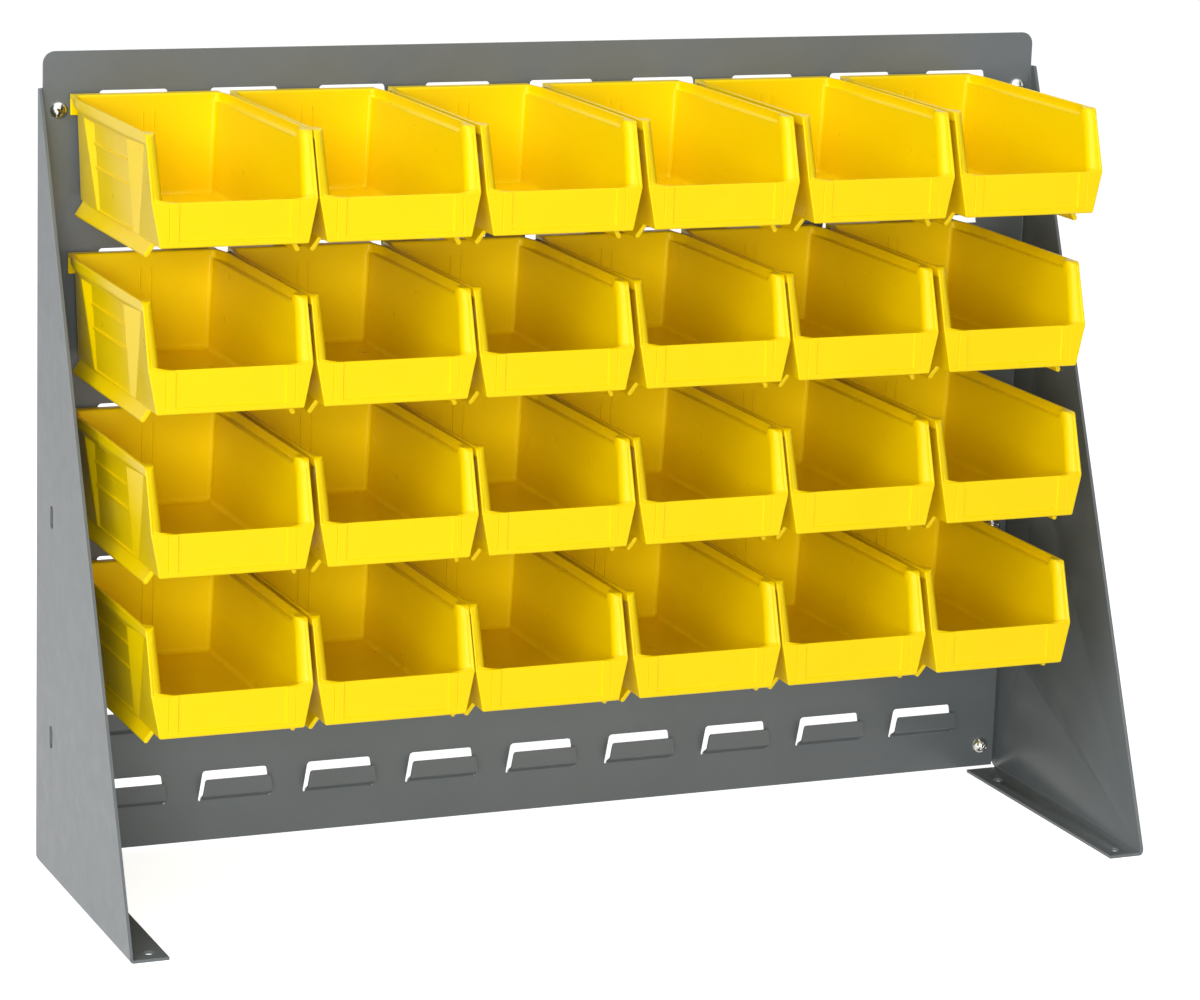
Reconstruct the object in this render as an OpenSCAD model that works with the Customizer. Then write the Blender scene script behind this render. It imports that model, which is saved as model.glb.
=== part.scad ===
// Bench rack with hanging bins
// A louvered steel panel stands between two folded uprights and carries rows of moulded hopper bins.
// Lengths are in millimetres. +X is right, +Y is back and +Z is up.
// The origin is on the bench, under the middle of the whole rack.

/* [Rack] */
// Width over the two uprights
rack_w = 714; // [708:1:740]
// Height of the panel's top edge above the bench
rack_h = 533.4; // [531:0.1:545]
// Depth of an upright's foot, front to back
foot_d = 215; // [205:1:240]
// Width of the foot and of the rear flange
flange_w = 25.4; // [23:0.1:32]
// Height of an upright
upright_h = 510; // [504:1:522]
// Thickness of an upright's sheet
upright_t = 2; // [1.6:0.1:2.4]
// Outer radius of an upright's bends
bend_r = 3; // [2.5:0.1:4]
// Thickness of the panel's sheet
panel_t = 1.5; // [1.2:0.1:1.8]
// Radius of the panel's top corners
panel_corner_r = 8; // [4:0.5:12]

/* [Louvers] */
// Distance from the panel's top edge to the top row of slots
top_margin = 25.4; // [24:0.1:27]
// Distance between louver columns
louver_pitch = 73.6; // [70:0.1:74.4]
// Distance between louver rows
row_pitch = 50.8; // [50.2:0.1:51]
// Width of a slot at its top
slot_w = 44.45; // [40:0.05:48]
// Widening of a slot from its top to its foot, on each side
slot_lean = 3.4; // [2:0.1:5]
// Height of a slot
slot_h = 21; // [20:0.1:23]
// Clear height above a louver's top edge
louver_gap = 4; // [3.5:0.1:5]
// Distance that a louver stands out from the panel
louver_reach = 8; // [7.4:0.1:9]

/* [Bins] */
// Length of a bin, from its hanging lip to its front
bin_l = 187.3; // [175:0.1:200]
// Width of a bin at its rim
bin_w = 104.8; // [100:0.1:106]
// Height of a bin, from its rails to its rim
bin_h = 76.2; // [72:0.1:80]
// Thickness of a bin's walls
bin_wall = 2.2; // [1.8:0.1:2.5]
// Height of the low front wall
bin_front_h = 27.5; // [22:0.5:34]
// Height of the stacking rails below the bin's base
rail_h = 9; // [7:0.1:10]
// Depth of the stacking ledge below the rim
rim_h = 6; // [5:0.1:8]
// Height of the hanging lip
lip_h = 13.5; // [12:0.1:14.5]
// Distance between the bins in a row
bin_pitch = 108.2; // [107:0.1:108.8]
// Sideways place of each row of bins, from the top row down
row_shift = [-17, -21, -19, -17]; // [-24:1:-15]

/* [Screws] */
// Diameter of a screw's round head
head_d = 12; // [10:0.1:12.4]
// Height of a screw's head
head_h = 4.6; // [4:0.1:5.5]
// Diameter of a screw's shank
shank_d = 6.35; // [5:0.05:6.6]
// Diameter of the holes for the screws
hole_d = 7; // [6.8:0.1:7.6]
// Distance of the screws from an upright's outer face
screw_inset = 13.5; // [13:0.1:14.2]
// Heights of the four screws on each side
screw_z = [18, 181, 347, 496]; // [16:1:500]

/* [Fixing holes] */
// Diameter of the bolt holes in the feet
foot_hole_d = 7; // [5:0.1:9]
// Distance between a foot's two bolt holes
foot_hole_gap = 166; // [150:1:172]
// Distance of the front bolt hole from the front of the foot
foot_hole_front = 11.5; // [9:0.5:16]
// Length of the slots in an upright's side
side_slot_l = 15; // [12:0.5:18]
// Width of the slots in an upright's side
side_slot_w = 7; // [5:0.1:8]
// Distance between the two side slots
side_slot_gap = 146; // [130:1:160]

/* [Hidden] */
$fn = 48;
// Small overlap that joins two shapes of one piece
eps = 0.02;
// Clear gap between two pieces
fit_gap = 0.3;

// Rows of bins, and bins in a row
bin_rows = 4;
bin_cols = 6;
// Sideways shift of each loosely hung bin, as a share of the gap that the pitch leaves between two bins
bin_play = [
    [-0.15, -0.91, -0.97, -0.82, -0.09, 0.03],
    [0.68, 0.26, -0.21, -0.12, -0.65, -0.5],
    [0.88, 0.91, 0.53, 0.26, -0.32, 0.09],
    [0.6, 0.4, -0.5, -0.47, -1.15, -1]
];

// Rack places, measured from the panel's front face
upright_back_y = panel_t + upright_t;
foot_front_y = upright_back_y - foot_d;
panel_side_gap = 0.2;
panel_w = rack_w - 2 * (bend_r + panel_side_gap);
panel_bottom_gap = 0.6;
panel_bottom_z = upright_t + panel_bottom_gap;
upright_tip = 5.5;
corner_cut = [8, 5];
foot_corner_r = 5;
foot_hole_inset = 15.5;
side_slot_z = 94;
side_slot_y = -34;

// Louvers, as many as the panel has room for inside its plain margins
plain_side = 20.6;
plain_foot = 24;
louver_cols = 1 + floor((panel_w - slot_w - 2 * (slot_lean + plain_side)) / louver_pitch);
louver_rows = 1 + floor((rack_h - top_margin - slot_h - plain_foot) / row_pitch);

// Louver section
joggle_h = 5;
joggle_drop = 0.8;
shear_gap = 0.3;
slot_corner_r = 1.5;

// Fastener sizes
nut_af = 11.1;
nut_h = 5.5;
screw_past_nut = 1.5;
drive_w = 1.5;
drive_d = 1.8;
drive_turns = [40, 130];
screw_tip_y = upright_back_y + nut_h + screw_past_nut;

// Shift that brings the middle of the depth to the origin
y_mid = (foot_front_y + screw_tip_y) / 2;

// Bin section, with distances along the bin measured forward from its lip
hook_web = 2.6;
hook_room = louver_reach - panel_t;
lip_y = -(hook_room - bin_wall) / 2;
lip_inset = 3.4;
lip_w = bin_w - 2 * lip_inset;
back_v = louver_reach + fit_gap + lip_y;
base_z = rail_h;
floor_z = rail_h + bin_wall;
front_z = rail_h + bin_front_h;
ledge_z = bin_h - rim_h;
ledge_slope = 4.2;
rim_out = 5.2;
wall_draft = 2.4;
front_taper = 5.5;
rim_hw = bin_w / 2;
ledge_hw = rim_hw - rim_out;
base_hw = ledge_hw - wall_draft;
front_hw = rim_hw - front_taper;
rim_setback = 13.7;
flare_l = 56;
flare_v = bin_l - flare_l;

// Ribs on the bin's sides
rib_out = 1.4;
rib_t = 1.6;
rib_drops = [23.5, 38.4];
rear_rib_v = 37;
rear_rib_foot_v = 50;
front_rib_w = 7.5;

// Rails, front edges, label field and the ribs inside the back wall
rail_start_v = 14;
rail_setback = 23;
rail_t = 3.4;
rail_tip_in = 2.8;
rail_tip_w = 1.8;
rail_tip_h = 1.6;
bead_v = 9;
edge_t = 1.8;
label_hw = 35.2;
label_d = 0.8;
label_foot = 4;
groove_hw = 41;
groove_w = 0.6;
groove_d = 0.4;
groove_foot = 2;
divider_hw = 3.7;
divider_w = 1.6;
divider_d = 1.2;
past = 20;

function bin_name(r, c) = str("bin_r", r, "_c", c);

// Top of the slots in louver row k, counted from 0 at the top
function slot_top(k) = rack_h - top_margin - k * row_pitch;

// Sideways place of the bin in column c of row r
function bin_x(r, c) =
    row_shift[r - 1] + (c - (bin_cols + 1) / 2) * bin_pitch + bin_play[r - 1][c - 1] * (bin_pitch - bin_w);

// Height of the bins in row r, which hang on every second row of louvers
function bin_z(r) = slot_top(2 * (r - 1)) - louver_gap + hook_web - bin_h;

// Distance of a bin's sloping front edge from its lip at height z
function edge_v(z) = bin_l - rim_setback * (z - front_z) / (bin_h - front_z);

// Half width of a bin's plain side wall at height z
function side_hw(z) = base_hw + (ledge_hw - base_hw) * (z - base_z) / (ledge_z - base_z);

// A point of a bin and its mirror image, given half width, distance from the lip and height
function pair(hw, v, z) = [[hw, -v, z], [-hw, -v, z]];

module place() {
    translate([0, -y_mid, 0])
        children();
}

// Extrudes an outline drawn in X and Z from distance v1 to distance v2 in front of the lip
module along_y(v1, v2) {
    translate([0, -v1, 0])
        rotate([90, 0, 0])
            linear_extrude(v2 - v1)
                children();
}

// Extrudes an outline drawn in Y and Z from x1 to x2
module along_x(x1, x2) {
    translate([x1, 0, 0])
        rotate([90, 0, 90])
            linear_extrude(x2 - x1)
                children();
}

module both_sides() {
    children();
    mirror([1, 0, 0])
        children();
}

// Smallest convex solid around a list of points
module around(points) {
    hull()
        polyhedron(points, [[for (i = [0 : len(points) - 1]) i]]);
}

// Half width of a slot at a drop below its top
function slot_hw(drop) = slot_w / 2 + slot_lean * drop / slot_h;

// Slot with round corners that widens downwards, with the middle of its top edge at the origin
module slot_outline() {
    r = slot_corner_r;
    lean = atan(slot_lean / slot_h);
    side = [cos(lean), sin(lean)];
    top = [slot_hw(r) - r / side.x, -r];
    foot = [slot_hw(slot_h - r) - r / side.x, -slot_h + r];
    right = [[top.x, 0], top + r * side, foot + r * side, [foot.x, -slot_h]];
    polygon(concat(right, [for (i = [3 : -1 : 0]) [-right[i].x, right[i].y]]));
    for (x = [-1, 1], corner = [top, foot])
        translate([x * corner.x, corner.y])
            circle(r);
}

// Panel sheet with round top corners
module panel_outline() {
    h = rack_h - panel_bottom_z;
    r = panel_corner_r;
    translate([-panel_w / 2, panel_bottom_z])
        square([panel_w, h - r]);
    translate([-panel_w / 2 + r, panel_bottom_z])
        square([panel_w - 2 * r, h]);
    for (x = [-1, 1])
        translate([x * (panel_w / 2 - r), rack_h - r])
            circle(r);
}

// One tongue, lanced out of its slot and set forward, with the slot's top at height 0
module louver() {
    top = -louver_gap;
    foot = -slot_h;
    low = foot - joggle_drop;
    top_hw = slot_hw(-top) - shear_gap;
    low_hw = slot_hw(-low) - shear_gap;
    intersection() {
        along_x(-low_hw, low_hw)
            polygon([
                [0, low],
                [-louver_reach, low + joggle_h],
                [-louver_reach, top],
                [-hook_room, top],
                [-hook_room, foot + joggle_h],
                [panel_t, foot],
                [panel_t, low]
            ]);
        along_y(-panel_t - 1, louver_reach + 1)
            polygon([[-low_hw, low], [low_hw, low], [top_hw, top], [-top_hw, top]]);
    }
}

module screw_places() {
    for (x = [-1, 1], z = screw_z)
        translate([x * (rack_w / 2 - screw_inset), 0, z])
            children();
}

module louver_places() {
    for (k = [0 : louver_rows - 1], c = [0 : louver_cols - 1])
        translate([(c - (louver_cols - 1) / 2) * louver_pitch, 0, slot_top(k)])
            children();
}

module louvered_panel() {
    color("slategray") place() {
        difference() {
            along_y(-panel_t, 0)
                panel_outline();
            along_y(-panel_t - 1, 1)
                for (k = [0 : louver_rows - 1], c = [0 : louver_cols - 1])
                    translate([(c - (louver_cols - 1) / 2) * louver_pitch, slot_top(k)])
                        slot_outline();
            screw_places()
                rotate([-90, 0, 0])
                    translate([0, 0, -1])
                        cylinder(h = panel_t + 2, d = hole_d);
        }
        louver_places()
            louver();
    }
}

// Side outline of an upright, in Y and Z
module upright_outline() {
    r = foot_corner_r;
    difference() {
        polygon([
            [upright_back_y, corner_cut.y],
            [upright_back_y, upright_h],
            [upright_back_y - upright_tip, upright_h],
            [foot_front_y, r],
            [foot_front_y, 0],
            [upright_back_y - corner_cut.x, 0]
        ]);
        translate([foot_front_y, 0])
            difference() {
                translate([-1, -1])
                    square(r + 1);
                translate([r, r])
                    circle(r);
            }
    }
}

// Folded strip with its outer corner at the origin and legs along +X and +Y
module folded_strip(leg_x, leg_y) {
    t = upright_t;
    r = bend_r;
    translate([r, 0])
        square([leg_x - r, t]);
    translate([0, r])
        square([t, leg_y - r]);
    intersection() {
        square(r);
        translate([r, r])
            difference() {
                circle(r);
                circle(r - t);
            }
    }
}

// Left upright before its holes: side plate, foot and rear flange in one folded sheet
module upright_sheet() {
    bend_y = upright_back_y - bend_r;
    intersection() {
        along_x(-rack_w / 2, -rack_w / 2 + flange_w)
            upright_outline();
        union() {
            translate([-rack_w / 2, 0, 0])
                along_y(-bend_y, -foot_front_y + 1)
                    folded_strip(flange_w, upright_h + 1);
            translate([-rack_w / 2, upright_back_y, corner_cut.y])
                linear_extrude(upright_h)
                    mirror([0, 1])
                        folded_strip(flange_w, 2 * bend_r);
        }
    }
}

// Slot with round ends through the side plate
module side_slot() {
    run = side_slot_l - side_slot_w;
    rotate([0, 90, 0])
        for (z = [-1, 1])
            translate([z * run / 2, 0, -1])
                cylinder(h = upright_t + 2, d = side_slot_w);
    translate([-1, -side_slot_w / 2, -run / 2])
        cube([upright_t + 2, side_slot_w, run]);
}

module upright() {
    color("lightslategray") place()
        difference() {
            upright_sheet();
            screw_places()
                rotate([-90, 0, 0])
                    cylinder(h = 2 * upright_back_y, d = hole_d);
            for (i = [0, 1])
                translate([
                    -rack_w / 2 + foot_hole_inset,
                    foot_front_y + foot_hole_front + i * foot_hole_gap,
                    -1
                ])
                    cylinder(h = upright_t + 2, d = foot_hole_d);
            for (i = [0, 1])
                translate([-rack_w / 2, side_slot_y, side_slot_z + i * side_slot_gap])
                    side_slot();
        }
}

module left_upright() {
    upright();
}

module right_upright() {
    mirror([1, 0, 0])
        upright();
}

// Round headed screw along Y, with the underside of its head at the origin
module screw() {
    dome_r = (head_d * head_d / 4 + head_h * head_h) / (2 * head_h);
    difference() {
        intersection() {
            translate([0, dome_r - head_h, 0])
                sphere(dome_r);
            rotate([90, 0, 0])
                cylinder(h = head_h + 1, d = head_d);
        }
        for (a = drive_turns)
            rotate([0, a, 0])
                translate([-head_d, -head_h - 1, -drive_w / 2])
                    cube([2 * head_d, drive_d + 1, drive_w]);
    }
    rotate([-90, 0, 0])
        translate([0, 0, -eps])
            cylinder(h = screw_tip_y + eps, d = shank_d);
}

module panel_screws() {
    color("silver") place()
        screw_places()
            screw();
}

module panel_nuts() {
    color("silver") place()
        screw_places()
            translate([0, upright_back_y, 0])
                rotate([-90, 0, 0])
                    difference() {
                        cylinder(h = nut_h, d = nut_af / cos(30), $fn = 6);
                        translate([0, 0, -1])
                            cylinder(h = nut_h + 2, d = shank_d + fit_gap);
                    }
}

// Side outline of a bin without its lip and rails, in Y and Z
module bin_outline() {
    polygon([
        [-back_v, base_z],
        [-bin_l, base_z],
        [-bin_l, front_z],
        [-edge_v(bin_h), bin_h],
        [-back_v, bin_h]
    ]);
}

// Cross section of a bin's walls up to the ledge, made wider by the given amount
module wall_section(extra) {
    polygon([
        [-base_hw - extra, base_z],
        [base_hw + extra, base_z],
        [ledge_hw + extra, ledge_z],
        [-ledge_hw - extra, ledge_z]
    ]);
}

// Cross section of the stepped rim, which carries the rails of a bin stacked on top
module rim_section() {
    low_z = ledge_z - ledge_slope;
    polygon([
        [-side_hw(low_z), low_z],
        [side_hw(low_z), low_z],
        [rim_hw, ledge_z],
        [rim_hw, bin_h],
        [-rim_hw, bin_h],
        [-rim_hw, ledge_z]
    ]);
}

// Front part of the bin, where the sides flare out to the front edges
module flared_front() {
    around(concat(
        pair(base_hw + rib_out, flare_v, base_z),
        pair(ledge_hw + rib_out, flare_v, ledge_z),
        pair(front_hw, bin_l, base_z),
        pair(rim_hw, bin_l, front_z),
        pair(rim_hw, edge_v(ledge_z), ledge_z)
    ));
}

// Raised pillars and ribs on a bin's sides, in Y and Z
module rib_outline() {
    rib_top = ledge_z - ledge_slope / 2;
    front_v = flare_v - front_rib_w;
    polygon([[-back_v, base_z], [-rear_rib_foot_v, base_z], [-rear_rib_v, rib_top], [-back_v, rib_top]]);
    polygon([[-front_v, base_z], [-flare_v - 1, base_z], [-flare_v - 1, rib_top], [-front_v, rib_top]]);
    for (drop = rib_drops)
        translate([-front_v - 1, bin_h - drop - rib_t])
            square([front_v - rear_rib_v, rib_t]);
}

module side_ribs() {
    intersection() {
        along_y(back_v, flare_v + 1)
            wall_section(rib_out);
        along_x(-rim_hw, rim_hw)
            rib_outline();
    }
}

// Space inside a bin: drafted up to the ledge, then as wide as the rim
module bin_space() {
    intersection() {
        along_y(back_v + bin_wall, bin_l + past)
            polygon([
                [-base_hw + bin_wall, floor_z],
                [base_hw - bin_wall, floor_z],
                [ledge_hw - bin_wall, ledge_z],
                [rim_hw - bin_wall, ledge_z],
                [rim_hw - bin_wall, bin_h + past],
                [-rim_hw + bin_wall, bin_h + past],
                [-rim_hw + bin_wall, ledge_z],
                [-ledge_hw + bin_wall, ledge_z]
            ]);
        along_x(-rim_hw, rim_hw)
            polygon([
                [-back_v, floor_z],
                [-bin_l + bin_wall, floor_z],
                [-bin_l + bin_wall, front_z],
                [-bin_l - past, front_z],
                [-bin_l - past, bin_h + past],
                [-back_v, bin_h + past]
            ]);
    }
}

// Bevel that turns the sides outward at the front edges
module front_bevel() {
    in_low = side_hw(front_z) - bin_wall;
    in_high = side_hw(ledge_z) - bin_wall;
    out = rim_hw - edge_t;
    around([
        [in_low, -bin_l + bead_v, front_z],
        [out, -bin_l, front_z],
        [out, -bin_l - bead_v, front_z],
        [in_low - 1, -bin_l - bead_v, front_z],
        [in_low - 1, -bin_l + bead_v, front_z],
        [in_high, -edge_v(ledge_z) + bead_v, ledge_z + eps],
        [out, -edge_v(ledge_z), ledge_z + eps],
        [out, -bin_l - bead_v, ledge_z + eps],
        [in_low - 1, -bin_l - bead_v, ledge_z + eps],
        [in_low - 1, -edge_v(ledge_z) + bead_v, ledge_z + eps]
    ]);
}

// Hanging lip: a channel across the back that drops over the louvers
module hanging_lip() {
    along_x(-lip_w / 2, lip_w / 2)
        polygon([
            [0, bin_h - lip_h],
            [0, bin_h],
            [-back_v - bin_wall, bin_h],
            [-back_v - bin_wall, bin_h - hook_web],
            [-bin_wall, bin_h - hook_web],
            [-bin_wall, bin_h - lip_h]
        ]);
}

// Rails that flare out under both sides of the base
module rails() {
    tip_hw = rim_hw - rail_tip_in;
    both_sides()
        along_y(rail_start_v, bin_l - rail_setback)
            polygon([
                [base_hw - rail_t, base_z + bin_wall / 2],
                [base_hw - rail_t, base_z],
                [tip_hw - rail_tip_w - rail_tip_h / 2, 0],
                [tip_hw - rail_tip_h / 2, 0],
                [tip_hw, rail_tip_h],
                [base_hw, base_z],
                [base_hw, base_z + bin_wall / 2]
            ]);
}

// Shallow label field and the two grooves beside it, cut into the front wall
module label_field() {
    translate([-label_hw, -bin_l - 1, base_z + label_foot])
        cube([2 * label_hw, label_d + 1, bin_front_h]);
    for (x = [-1, 1])
        translate([x * groove_hw - groove_w / 2, -bin_l - 1, base_z + groove_foot])
            cube([groove_w, groove_d + 1, bin_front_h]);
}

// Two thin ribs inside the back wall
module divider_ribs() {
    for (x = [-1, 1])
        translate([x * divider_hw - divider_w / 2, -back_v - bin_wall - divider_d, floor_z - eps])
            cube([divider_w, divider_d + eps, ledge_z - floor_z - ledge_slope]);
}

module bin() {
    difference() {
        union() {
            intersection() {
                union() {
                    along_y(back_v, flare_v + 1)
                        wall_section(0);
                    flared_front();
                    along_y(back_v, bin_l)
                        rim_section();
                }
                along_x(-rim_hw, rim_hw)
                    bin_outline();
            }
            side_ribs();
            rails();
            hanging_lip();
        }
        bin_space();
        both_sides()
            front_bevel();
        label_field();
    }
    divider_ribs();
}

module placed_bin(r, c) {
    color("gold") place()
        translate([bin_x(r, c), lip_y, bin_z(r)])
            bin();
}

louvered_panel();
left_upright();
right_upright();
panel_screws();
panel_nuts();
for (r = [1 : bin_rows], c = [1 : bin_cols])
    placed_bin(r, c);
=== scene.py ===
# %% [markdown]
# # Bench rack with hanging bins
# A steel bench rack carries rows of moulded bins on a louvered panel. The CAD model gives every
# size and place. In this lesson each piece is modelled again with the soft edges, bends and
# finishes that the eye looks for. Every piece rides on the CAD body that carries it, so that a bin
# can still be lifted off.

import math

import bmesh
import bpy
from mathutils import Matrix, Vector


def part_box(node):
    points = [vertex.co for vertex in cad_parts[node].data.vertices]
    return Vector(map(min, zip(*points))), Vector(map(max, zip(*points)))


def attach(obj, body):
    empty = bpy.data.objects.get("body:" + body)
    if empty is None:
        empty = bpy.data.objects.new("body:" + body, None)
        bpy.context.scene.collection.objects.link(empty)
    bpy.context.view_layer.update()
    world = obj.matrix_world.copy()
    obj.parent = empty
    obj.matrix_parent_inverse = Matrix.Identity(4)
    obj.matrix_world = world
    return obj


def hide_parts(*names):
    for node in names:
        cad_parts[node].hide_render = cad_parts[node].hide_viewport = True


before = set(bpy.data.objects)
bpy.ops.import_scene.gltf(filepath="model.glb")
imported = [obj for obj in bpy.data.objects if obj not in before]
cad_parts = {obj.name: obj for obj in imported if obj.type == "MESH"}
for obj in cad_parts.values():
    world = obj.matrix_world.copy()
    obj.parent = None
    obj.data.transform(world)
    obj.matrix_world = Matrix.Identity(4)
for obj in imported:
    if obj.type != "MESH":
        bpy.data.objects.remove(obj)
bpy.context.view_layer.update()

# %% [markdown]
# ## Drawing in millimetres
# Small parts are easier to think of in millimetres than in metres, so every mesh below is drawn in
# millimetres. One last transform turns it into metres and moves it to its place. The object itself
# stays at the origin, so that the pattern of a material, which is read from the object's own
# coordinates, stays where it belongs.

# %% Helpers for finished pieces
MM = 0.001


def box_mm(node):
    """Lowest and highest corner of a CAD node, in millimetres."""
    low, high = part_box(node)
    return low / MM, high / MM


def new_piece(bm, name):
    """Stores a bmesh as a smooth shaded mesh object and frees the bmesh."""
    for face in bm.faces:
        face.smooth = True
    mesh = bpy.data.meshes.new(name)
    bm.to_mesh(mesh)
    bm.free()
    piece = bpy.data.objects.new(name, mesh)
    bpy.context.scene.collection.objects.link(piece)
    return piece


def apply_modifiers(piece):
    """Gives a piece the mesh that its modifiers make, and takes the modifiers off."""
    graph = bpy.context.evaluated_depsgraph_get()
    made = piece.evaluated_get(graph)
    mesh = bpy.data.meshes.new_from_object(made, preserve_all_data_layers=True, depsgraph=graph)
    drawn = piece.data
    piece.modifiers.clear()
    piece.data = mesh
    bpy.data.meshes.remove(drawn)


def weigh_normals(piece):
    """Lets the large faces decide the shading, so that flat walls stay flat beside round edges."""
    weighted = piece.modifiers.new("weighted normals", "WEIGHTED_NORMAL")
    weighted.keep_sharp = True
    apply_modifiers(piece)


def settle(piece, place=(0, 0, 0)):
    """Turns millimetres into metres and moves the mesh to its place, given in millimetres."""
    piece.data.transform(Matrix.Scale(MM, 4) @ Matrix.Translation(place))


def stand_for(piece, node, body, material):
    """The piece replaces a CAD node, rides on its body and gets its finish."""
    piece.data.materials.clear()
    piece.data.materials.append(material)
    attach(piece, body)
    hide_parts(node)


def only(kind, items):
    """The vertices, edges or faces among the items that an operator gave back."""
    return [item for item in items if isinstance(item, kind)]


print("helpers ready")

# %% [markdown]
# ## Camera
# The camera stands to the left of the rack and a little above it, far away with a long lens, so
# that the rows run nearly parallel. Its place was worked out from corners of the rack that can be
# told apart in the picture. It leans by two degrees about its own axis, which a plain Euler turn
# can't say, so three turns are multiplied.

# %% Camera
CAMERA_PLACE = (-1.06799, -2.44356, 0.87714)
CAMERA_YAW = 0.41017
CAMERA_PITCH = -0.23294
CAMERA_ROLL = 0.03431
SENSOR = 36.0
FOCAL_PIXELS = 4177.9
IMAGE_WIDTH = 1200

camera_data = bpy.data.cameras.new("camera")
camera_data.sensor_width = SENSOR
camera_data.lens = FOCAL_PIXELS / IMAGE_WIDTH * SENSOR
camera = bpy.data.objects.new("camera", camera_data)
camera.matrix_world = (
    Matrix.Translation(CAMERA_PLACE)
    @ Matrix.Rotation(-CAMERA_YAW, 4, "Z")
    @ Matrix.Rotation(math.pi / 2 + CAMERA_PITCH, 4, "X")
    @ Matrix.Rotation(CAMERA_ROLL, 4, "Z")
)
bpy.context.scene.collection.objects.link(camera)
bpy.context.scene.camera = camera
print("lens in millimetres:", round(camera_data.lens, 1))

# %% [markdown]
# ## Shader nodes by name
# A material is a small graph. Two helpers keep its cells short: one adds a node with its settings,
# the other joins two sockets. They are used for the stage as well as for the finishes.

# %% Helpers for shader nodes


def add_node(tree, kind, **inputs):
    """Adds a shader node and sets its inputs by name, with spaces written as underscores."""
    node = tree.nodes.new(kind)
    for name, value in inputs.items():
        node.inputs[name.replace("_", " ")].default_value = value
    return node


def join(tree, out_socket, in_socket):
    tree.links.new(out_socket, in_socket)


def new_material(name):
    """A material with an empty Principled shader, and its node tree."""
    material = bpy.data.materials.new(name)
    material.use_nodes = True
    tree = material.node_tree
    return material, tree, tree.nodes["Principled BSDF"]


print("shader helpers ready")

# %% [markdown]
# ## Stage
# The rack stands on a plain white floor that runs out of the picture. A white floor under soft
# lamps comes out a little grey, so the floor also glows faintly, but only for rays that come
# straight from the camera or from a mirror like surface. The rack's soft shadow stays, and the rack
# gets no extra light from the glow.

# %% Floor and world
FLOOR_HALF = 14.0
FLOOR_WHITE = (0.75, 0.75, 0.75, 1)
FLOOR_GLOW = 0.85
FLOOR_ROUGHNESS = 0.9
WORLD_LIGHT = 0.22


def seen_directly(tree):
    """A socket that is 1 for camera, mirror and glass rays, and 0 for rays that carry light."""
    path = tree.nodes.new("ShaderNodeLightPath")
    first = tree.nodes.new("ShaderNodeMath")
    first.operation = "MAXIMUM"
    second = tree.nodes.new("ShaderNodeMath")
    second.operation = "MAXIMUM"
    join(tree, path.outputs["Is Camera Ray"], first.inputs[0])
    join(tree, path.outputs["Is Glossy Ray"], first.inputs[1])
    join(tree, first.outputs[0], second.inputs[0])
    join(tree, path.outputs["Is Transmission Ray"], second.inputs[1])
    return second.outputs[0]


floor_bm = bmesh.new()
bmesh.ops.create_grid(floor_bm, x_segments=1, y_segments=1, size=FLOOR_HALF)
floor = new_piece(floor_bm, "floor")
floor_paint, tree, shader = new_material("floor white")
shader.inputs["Base Color"].default_value = FLOOR_WHITE
shader.inputs["Roughness"].default_value = FLOOR_ROUGHNESS
shader.inputs["Specular IOR Level"].default_value = 0.0
shader.inputs["Emission Color"].default_value = (1, 1, 1, 1)
glow = tree.nodes.new("ShaderNodeMath")
glow.operation = "MULTIPLY"
glow.inputs[1].default_value = FLOOR_GLOW
join(tree, seen_directly(tree), glow.inputs[0])
join(tree, glow.outputs[0], shader.inputs["Emission Strength"])
floor.data.materials.append(floor_paint)

world = bpy.data.worlds.new("studio")
world.use_nodes = True
bpy.context.scene.world = world
sky = world.node_tree.nodes["Background"]
sky.inputs["Color"].default_value = (1, 1, 1, 1)
level = world.node_tree.nodes.new("ShaderNodeMapRange")
level.inputs["To Min"].default_value = WORLD_LIGHT
level.inputs["To Max"].default_value = 1.0
join(world.node_tree, seen_directly(world.node_tree), level.inputs["Value"])
join(world.node_tree, level.outputs["Result"], sky.inputs["Strength"])
bpy.context.scene.view_settings.view_transform = "Standard"
print("stage ready")

# %% [markdown]
# ## Lamps
# Three large area lamps make plain soft studio light. The key lamp stands at the front left and
# shines deep into the bins, a side lamp further left and higher brightens their right walls, and a
# top lamp lights the top row.

# %% Lamps


def add_lamp(name, place, target, size, power):
    """A square area lamp at a place in metres, turned to face a target."""
    data = bpy.data.lights.new(name, "AREA")
    data.size = size
    data.energy = power
    lamp = bpy.data.objects.new(name, data)
    turn = (Vector(target) - Vector(place)).to_track_quat("-Z", "Y")
    lamp.matrix_world = Matrix.Translation(place) @ turn.to_matrix().to_4x4()
    bpy.context.scene.collection.objects.link(lamp)


RACK_MIDDLE = (0.0, 0.0, 0.27)
LAMP_SIZE = 2.4
LAMPS = {
    "key lamp": ((-2.2, -5.5, 0.95), 228),
    "side lamp": ((-3.5, -2.5, 2.4), 80),
    "top lamp": ((-0.5, -0.2, 2.8), 27),
}
for name, (place, power) in LAMPS.items():
    add_lamp(name, place, RACK_MIDDLE, LAMP_SIZE, power)

# %% [markdown]
# ## Shared surface effects
# Real surfaces are never quite even. One node group makes a soft blotchy mask, which tints the
# colour and changes the gloss a little. Another makes the fine bumps of a sprayed or moulded skin.
# Built once as groups, they can be placed in every finish with its own scale and strength.

# %% Node groups for blotches and fine skin


def new_group(name, inputs, outputs):
    """A shader node group with named sockets, and its input and output nodes."""
    group = bpy.data.node_groups.new(name, "ShaderNodeTree")
    for label, kind, value in inputs:
        socket = group.interface.new_socket(label, in_out="INPUT", socket_type=kind)
        socket.default_value = value
    for label, kind in outputs:
        group.interface.new_socket(label, in_out="OUTPUT", socket_type=kind)
    return group, group.nodes.new("NodeGroupInput"), group.nodes.new("NodeGroupOutput")


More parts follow.
